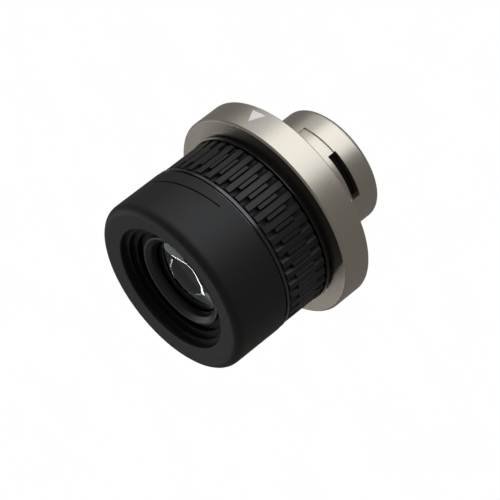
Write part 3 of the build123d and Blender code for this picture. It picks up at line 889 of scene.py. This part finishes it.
def make_index_mark():
    """Pale enamel fill whose face follows the flange's rim, just below it."""
    radius = node_size("mount_flange")[0]
    sunk, gap, rows = 0.03, 0.03, 8
    corners = index_corners(INDEX_SIDE - 2 * gap, INDEX_BASE + gap)
    rise = corners[2][1] - corners[0][1]
    mesh = bmesh.new()

    def layer(layer_r):
        points = []
        for row in range(rows):
            share = row / rows
            reach = corners[1][0] * (1 - share)
            across = [reach * (2 * k / (rows - row) - 1) for k in range(rows - row + 1)]
            points.append([mesh.verts.new(Vector(
                (x, -math.sqrt(layer_r ** 2 - x ** 2), corners[0][1] + rise * share)) * MM)
                for x in across])
        apex = Vector((0, -layer_r, corners[2][1])) * MM
        points.append([mesh.verts.new(apex)])
        return points

    face, back = layer(radius - sunk), layer(radius - INDEX_INLAY)
    for points in (face, back):
        for row, above in zip(points, points[1:]):
            for k in range(len(row) - 1):
                mesh.faces.new((row[k], row[k + 1], above[k]))
                if k + 1 < len(above):
                    mesh.faces.new((row[k + 1], above[k + 1], above[k]))
    rims = []
    for points in (face, back):
        left = [row[0] for row in points]
        right = [row[-1] for row in points]
        rims.append(points[0] + right[1:] + list(reversed(left[1:-1])))
    for k in range(len(rims[0])):
        j = (k + 1) % len(rims[0])
        mesh.faces.new((rims[0][k], rims[0][j], rims[1][j], rims[1][k]))
    bmesh.ops.recalc_face_normals(mesh, faces=mesh.faces)
    piece = add_object("index_triangle", mesh)
    place(piece, "root", "index_mark", "index_paint")


def make_barrel():
    """Barrel with a rounded nose and, three times round it, a channel with a slot at its edge."""
    sizes = settings("sizes")
    radius, bottom, top = node_size("bayonet_barrel")
    bore, neck_r, neck_top, spigot_r = 14.0, 15.8, 0.3, 14.95
    lock_count, channel_steps, slot_steps = 3, 64, 40
    channel_from, channel_to, slot_to = 183.5, 268.0, 230.8
    channel_top, channel_bottom, channel_depth = -6.4, -10.2, 0.35
    slot_top, slot_bottom = -8.2, -10.6
    piece = turned("lock_barrel", [
        (bore, bottom, 0.4), (radius, bottom, sizes.barrel_nose / MM), (radius, 0.0, 0.08),
        (neck_r, 0.0), (neck_r, neck_top), (spigot_r, neck_top), (spigot_r, top), (bore, top)])
    flare = 0.1
    floor_r = radius - channel_depth
    channel = [
        (floor_r, channel_bottom), (radius - flare, channel_bottom),
        (radius + flare, channel_bottom - 2 * flare), (radius + flare, channel_top + 2 * flare),
        (radius - flare, channel_top), (floor_r, channel_top),
    ]
    slot = [
        (bore - 1, slot_bottom), (radius - flare, slot_bottom),
        (radius + flare, slot_bottom - 2 * flare), (radius + flare, slot_top),
        (bore - 1, slot_top),
    ]
    cutters = []
    for turn in even_angles(lock_count):
        cutters.append(wedge(f"channel {turn:.0f}", channel, channel_from + turn,
                             channel_to + turn, channel_steps))
        cutters.append(wedge(f"slot {turn:.0f}", slot, channel_from + turn, slot_to + turn,
                             slot_steps))
    cut_away(piece, cutters)
    place(piece, "root", "bayonet_barrel", "champagne_metal")


def make_lens_ring():
    """Ring round the eye lens with a narrow lip and a slope down to the glass."""
    radius, bottom, top = node_size("eye_lens_retaining_ring")
    hole, seal_r, skirt, seat = 10.4, 11.5, 12.35, top - 2.2
    lip_width, slope_end, slope_drop, foot = 0.75, 0.6, 0.8, 0.2
    cell_top = node_size("lens_cell")[2]
    piece = turned("eye_lens_ring", [
        (hole, seat), (seal_r, seat), (seal_r, bottom), (skirt, bottom), (skirt, cell_top),
        (radius, cell_top), (radius, top, 0.3), (radius - lip_width, top, 0.25),
        (hole + slope_end, top - slope_drop, 0.08), (hole, seat + foot)])
    place(piece, "root", "eye_lens_retaining_ring", "lens_ring_finish")


def make_cell_tube():
    """Tube that holds the lenses, with light-trap grooves in its waist."""
    radius, bottom, top = node_size("lens_cell")
    bore, waist = LENS_CELL_BORE, LENS_CELL_WAIST
    lower_r, step_z, front_seat, rear_seat = 13.9, 4.0, 12.4, -6.5
    traps = []
    trap_count, trap_pitch, trap_depth, first_trap = 6, 1.2, 0.35, front_seat - 2.0
    for i in range(trap_count):
        z = first_trap - i * trap_pitch
        traps += [(waist, z), (waist + trap_depth, z - trap_pitch / 2)]
    piece = turned("cell_tube", [
        (bore, bottom, 0.15), (lower_r, bottom, 0.3), (lower_r, step_z), (radius, step_z),
        (radius, top, 0.2), (bore, top), (bore, front_seat), (waist, front_seat)]
        + traps + [(waist, rear_seat), (bore, rear_seat)])
    place(piece, "root", "lens_cell", "matt_black")


def make_field_ring():
    """Ring that holds the field lens, with two slots for a spanner."""
    radius, bottom, top = node_size("field_lens_retaining_ring")
    hole, chamfer, rim = 10.6, 0.7, 0.6
    slot_top, slot_wall, half_slot = bottom + 0.6, radius - 0.5, 3.0
    piece = turned("field_lens_ring", [
        (hole, top - 1.6), (radius - rim, top - 1.0), (radius, top), (radius, bottom, 0.12),
        (hole + chamfer, bottom, 0.1), (hole, bottom + chamfer, 0.1)])
    notch = [(hole - 1, bottom - 1), (slot_wall, bottom - 1), (slot_wall, slot_top),
             (hole - 1, slot_top)]
    cut_away(piece, [wedge(f"spanner slot {a}", notch, a - half_slot, a + half_slot, 4)
                     for a in (90, 270)])
    place(piece, "root", "field_lens_retaining_ring", "matt_black")


def make_lens(name, node, top_curve, bottom_curve, edge_top, edge_bottom):
    """Round lens with a ground edge chamfer, from its face curves and the heights of its edge."""
    radius = node_size(node)[0]
    chamfer = 0.15
    points = (dome(top_curve, radius - chamfer, edge_top)
              + list(reversed(dome(bottom_curve, radius - chamfer, edge_bottom)))
              + [(radius, edge_bottom + chamfer), (radius, edge_top - chamfer)])
    piece = add_object(name, swept_rings([(a, points) for a in even_angles(AROUND)]))
    place(piece, "root", node, "coated_glass")


def make_glass():
    """Eye lens and field lens, the two that show."""
    eye_curve, eye_edge_top, field_curve, field_edge_bottom = 30.0, 33.55, -40.0, -9.0
    make_lens("eye_glass", "eye_lens", eye_curve, 0.0, eye_edge_top, node_size("eye_lens")[1])
    make_lens("field_glass", "field_lens", 0.0, field_curve, node_size("field_lens")[2],
              field_edge_bottom)


def finish_inner_nodes():
    """Materials of the frame's nodes, chosen from their slots in the record."""
    slots = {part["node"]: part["material_slot"] for part in frame["record"]["subparts"]}
    for name, node in frame["nodes"].items():
        finish = "inner_glass" if slots[name] == "coated_glass" else slots[name]
        node.data.materials.clear()
        node.data.materials.append(finish_of(finish))


# ---- studio ----
def bearing(azimuth, elevation):
    """Direction from the object: azimuth 0 is -Y, as the camera's azimuth, in radians."""
    return Vector((math.sin(azimuth) * math.cos(elevation),
                   -math.cos(azimuth) * math.cos(elevation), math.sin(elevation)))


def soft_box(name, polar, elevation, distance, width, height, radiance):
    """Daylight lamp that faces the object from a polar angle and an elevation in degrees."""
    lamp = bpy.data.lights.new(name, "AREA")
    lamp.shape = "RECTANGLE"
    lamp.size, lamp.size_y = width, height
    lamp.energy = radiance * math.pi * width * height
    lamp.color = (0.97, 1.0, 1.05)
    holder = bpy.data.objects.new(name, lamp)
    bpy.context.scene.collection.objects.link(holder)
    away = bearing(math.radians(polar + 90.0), math.radians(elevation))
    holder.location = away * distance
    holder.rotation_mode = "QUATERNION"
    holder.rotation_quaternion = (-away).to_track_quat("-Z", "Y")
    holder.visible_camera = False


def make_camera():
    """Camera at the viewing angle, aimed so that the seat stands off the picture's centre."""
    studio = settings("studio")
    lens = bpy.data.cameras.new("camera")
    camera = bpy.data.objects.new("camera", lens)
    bpy.context.scene.collection.objects.link(camera)
    lens.sensor_width = 36.0
    lens.lens = studio.lens / MM
    away = bearing(studio.azimuth, studio.elevation)
    turn = Matrix.Rotation(studio.roll, 4, "Z").to_quaternion()
    facing = (-away).to_track_quat("-Z", "Y") @ turn
    camera.rotation_mode = "QUATERNION"
    camera.rotation_quaternion = facing
    camera.location = facing @ Vector((-studio.right, -studio.up, studio.distance))
    lens.clip_start, lens.clip_end = 0.01, 20.0
    bpy.context.scene.camera = camera


def make_floor():
    """Self-lit white floor under the barrel, which only the camera sees and only from above."""
    studio = settings("studio")
    half, gap, cuts = 3.0, 0.0002, 8
    level = CAD_BOX[0].z - gap
    mesh = bmesh.new()
    corners = [mesh.verts.new((x, y, level)) for x, y in
               ((-half, -half), (half, -half), (half, half), (-half, half))]
    mesh.faces.new(corners)
    bmesh.ops.subdivide_edges(mesh, edges=mesh.edges, cuts=cuts, use_grid_fill=True)
    floor = add_object("floor", mesh)
    material, board, glow, output = glow_material("floor paper", scaled(studio.floor), 1.0)
    mottle = effect(board, "soft mottle", Size=0.02)["Value"]
    board.feed(glow, "Color", board.blend(mottle, scaled(studio.floor, 0.995),
                                          scaled(studio.floor)))
    clear = board.add("BsdfTransparent")
    under = board.add("NewGeometry").outputs["Backfacing"]
    sided = board.add("MixShader", None, {
        0: under, 1: glow.outputs["Emission"], 2: clear.outputs["BSDF"]})
    board.feed(output, "Surface", sided.outputs["Shader"])
    floor.data.materials.append(material)
    floor.visible_glossy = False
    floor.visible_diffuse = False
    floor.visible_transmission = False
    floor.visible_shadow = False


def make_world():
    """Room: white where the camera sees it, and a soft grey for everything else."""
    studio = settings("studio")
    world = bpy.data.worlds.new("room")
    bpy.context.scene.world = world
    world.use_nodes = True
    board = Board(world.node_tree)
    seen = board.add("LightPath").outputs["Is Camera Ray"]
    level = board.remap(seen, 0.0, 1.0, studio.ambient, 1.0)
    glow = board.add("Background", None,
                     {"Color": board.blend(seen, (1.0, 0.975, 0.94, 1.0), (1.0, 1.0, 1.0, 1.0)),
                      "Strength": level})
    output = board.add("OutputWorld")
    board.feed(output, "Surface", glow.outputs["Background"])


def make_streak():
    """Thin bright arch that only reflections see; it gives the eye lens its curved highlight."""
    studio = settings("studio")
    # Polar angle, elevation and width of the arch, all in degrees.
    path = [Vector(point) for point in (
        (29.0, 34.0, 0.35), (30.5, 43.0, 0.4), (35.0, 50.5, 0.5), (42.0, 53.5, 0.6),
        (49.0, 52.0, 0.8), (57.5, 45.5, 1.2), (59.2, 36.0, 1.9))]
    distance, steps = 0.6, 40
    mesh = bmesh.new()
    rows = []
    for step in range(steps + 1):
        along = step / steps * (len(path) - 1)
        k = min(int(along), len(path) - 2)
        here = path[k].lerp(path[k + 1], along - k)
        run = (path[k + 1] - path[k]).to_2d().normalized()
        rows.append([mesh.verts.new(distance * bearing(
            math.radians(here.x + 90.0 - run.y * side), math.radians(here.y + run.x * side)))
            for side in (-here.z / 2, here.z / 2)])
    for row, other in zip(rows, rows[1:]):
        mesh.faces.new((row[0], row[1], other[1], other[0]))
    arch = add_object("lens_streak", mesh)
    arch.data.materials.append(
        glow_material("streak lamp", (1.0, 1.0, 1.0, 1.0), studio.streak)[0])
    arch.visible_camera = False
    arch.visible_diffuse = False
    arch.visible_shadow = False


def make_lamps():
    """Main soft box below the flange's plane, a weak one at its side and one above."""
    studio = settings("studio")
    soft_box("key box", polar=254.0, elevation=-26.0, distance=0.6, width=0.64, height=0.9,
             radiance=studio.key)
    soft_box("side box", polar=302.0, elevation=-24.0, distance=0.6, width=0.42, height=0.9,
             radiance=studio.side)
    soft_box("top box", polar=12.0, elevation=34.0, distance=0.8, width=0.42, height=0.5,
             radiance=studio.top)


# ---- operators ----
class EYEPIECE_OT_eyecup(bpy.types.Operator):
    """Build the rubber eyecup"""

    bl_idname = "eyepiece.eyecup"
    bl_label = "Soft eyecup"

    def execute(self, context):
        make_soft_eyecup()
        return {"FINISHED"}


class EYEPIECE_OT_trim(bpy.types.Operator):
    """Build the metal rings behind the eyecup and behind the ribs"""

    bl_idname = "eyepiece.trim"
    bl_label = "Trim rings"

    def execute(self, context):
        make_front_trim()
        make_rear_ring()
        return {"FINISHED"}


class EYEPIECE_OT_carrier(bpy.types.Operator):
    """Build the tube that carries the eyecup and the stepped ring in its opening"""

    bl_idname = "eyepiece.carrier"
    bl_label = "Eyecup carrier"

    def execute(self, context):
        make_sleeve()
        make_baffle()
        return {"FINISHED"}


class EYEPIECE_OT_grip(bpy.types.Operator):
    """Build the ribbed rubber grip"""

    bl_idname = "eyepiece.grip"
    bl_label = "Ribbed grip"

    def execute(self, context):
        make_ribbed_grip()
        return {"FINISHED"}


class EYEPIECE_OT_body(bpy.types.Operator):
    """Build the body shell"""

    bl_idname = "eyepiece.body"
    bl_label = "Body"

    def execute(self, context):
        make_body_shell()
        return {"FINISHED"}


class EYEPIECE_OT_flange(bpy.types.Operator):
    """Build the flange and its index mark"""

    bl_idname = "eyepiece.flange"
    bl_label = "Flange"

    def execute(self, context):
        make_flange()
        make_index_mark()
        return {"FINISHED"}


class EYEPIECE_OT_barrel(bpy.types.Operator):
    """Build the barrel with its lock channels"""

    bl_idname = "eyepiece.barrel"
    bl_label = "Barrel"

    def execute(self, context):
        make_barrel()
        return {"FINISHED"}


class EYEPIECE_OT_cell(bpy.types.Operator):
    """Build the lens cell and the rings that hold its outer lenses"""

    bl_idname = "eyepiece.cell"
    bl_label = "Lens cell"

    def execute(self, context):
        make_cell_tube()
        make_lens_ring()
        make_field_ring()
        return {"FINISHED"}


class EYEPIECE_OT_glass(bpy.types.Operator):
    """Build the two lenses that show"""

    bl_idname = "eyepiece.glass"
    bl_label = "Lenses"

    def execute(self, context):
        make_glass()
        return {"FINISHED"}


class EYEPIECE_OT_inner(bpy.types.Operator):
    """Give the inner parts their finishes"""

    bl_idname = "eyepiece.inner"
    bl_label = "Inner parts"

    def execute(self, context):
        finish_inner_nodes()
        return {"FINISHED"}


class EYEPIECE_OT_studio(bpy.types.Operator):
    """Build the floor, the room, the lamps and the camera"""

    bl_idname = "eyepiece.studio"
    bl_label = "Studio"

    def execute(self, context):
        make_floor()
        make_world()
        make_lamps()
        make_streak()
        make_camera()
        return {"FINISHED"}


OPERATORS = [
    EYEPIECE_OT_eyecup, EYEPIECE_OT_trim, EYEPIECE_OT_carrier, EYEPIECE_OT_grip,
    EYEPIECE_OT_body, EYEPIECE_OT_flange, EYEPIECE_OT_barrel, EYEPIECE_OT_cell,
    EYEPIECE_OT_glass, EYEPIECE_OT_inner, EYEPIECE_OT_studio,
]


class EYEPIECE_PT_panel(bpy.types.Panel):
    """Lists the pieces of the eyepiece and their settings."""

    bl_label = "Telescope eyepiece"
    bl_idname = "EYEPIECE_PT_panel"
    bl_space_type = "VIEW_3D"
    bl_region_type = "UI"
    bl_category = "Eyepiece"

    def draw(self, context):
        for made in OPERATORS:
            self.layout.operator(made.bl_idname)
        for settings_name in GROUPS:
            group = getattr(context.scene, settings_name)
            box = self.layout.box()
            for name in group.__annotations__:
                box.prop(group, name)


GROUPS = {
    "eyepiece_sizes": EyepieceSizes,
    "eyepiece_finish": EyepieceFinish,
    "eyepiece_studio": StudioSettings,
}


def register():
    for name, group in GROUPS.items():
        bpy.utils.register_class(group)
        setattr(bpy.types.Scene, name, bpy.props.PointerProperty(type=group))
    for made in OPERATORS:
        bpy.utils.register_class(made)
    bpy.utils.register_class(EYEPIECE_PT_panel)


def unregister():
    bpy.utils.unregister_class(EYEPIECE_PT_panel)
    for made in reversed(OPERATORS):
        bpy.utils.unregister_class(made)
    for name, group in GROUPS.items():
        delattr(bpy.types.Scene, name)
        bpy.utils.unregister_class(group)


def main():
    """Builds every piece."""
    register()
    for made in OPERATORS:
        getattr(bpy.ops.eyepiece, made.bl_idname.split(".")[1])()
    scene = bpy.context.scene
    scene.view_settings.view_transform = "Standard"
    scene.view_settings.gamma = 0.9


if __name__ == "__main__":
    main()
